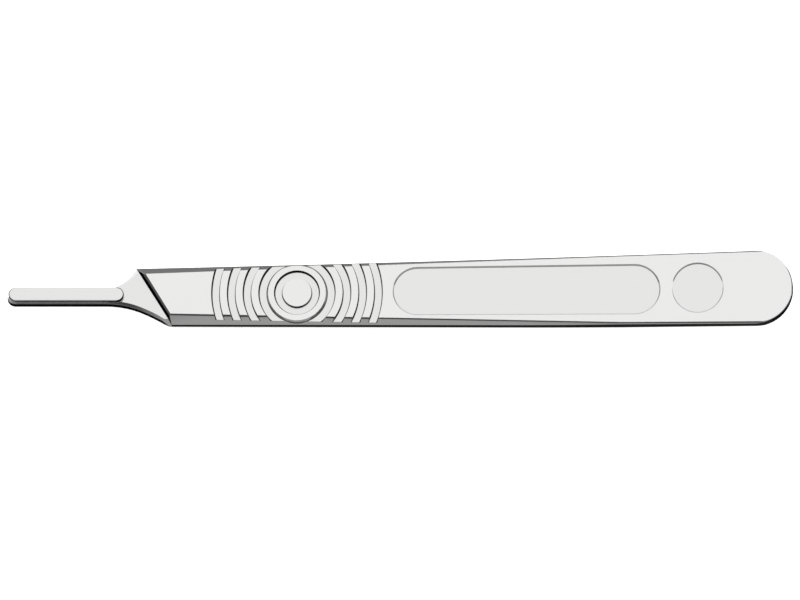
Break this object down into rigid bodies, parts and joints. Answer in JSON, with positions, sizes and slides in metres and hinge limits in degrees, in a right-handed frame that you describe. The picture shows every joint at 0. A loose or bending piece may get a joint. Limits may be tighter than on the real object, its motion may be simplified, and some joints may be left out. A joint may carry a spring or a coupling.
{
  "type": "scalpel handle",
  "caption": "Flat steel scalpel handle with a grooved tang for clip-on blades, a slanted shoulder, long bevels and a concentric-ring finger grip.",
  "frame": {"origin": "middle of the handle's bounding box, on its flat back face", "axes": "+X along the handle from the blade tang to the rounded end, +Y across its width towards the flared edge, +Z out of the front face, the side the blade's land stands on"},
  "size_m": [0.125, 0.0124, 0.0037],
  "materials": {
    "satin_steel": "fine satin stainless steel"
  },
  "bodies": {
    "root": {"handle": "satin_steel"}
  },
  "joints": []
}
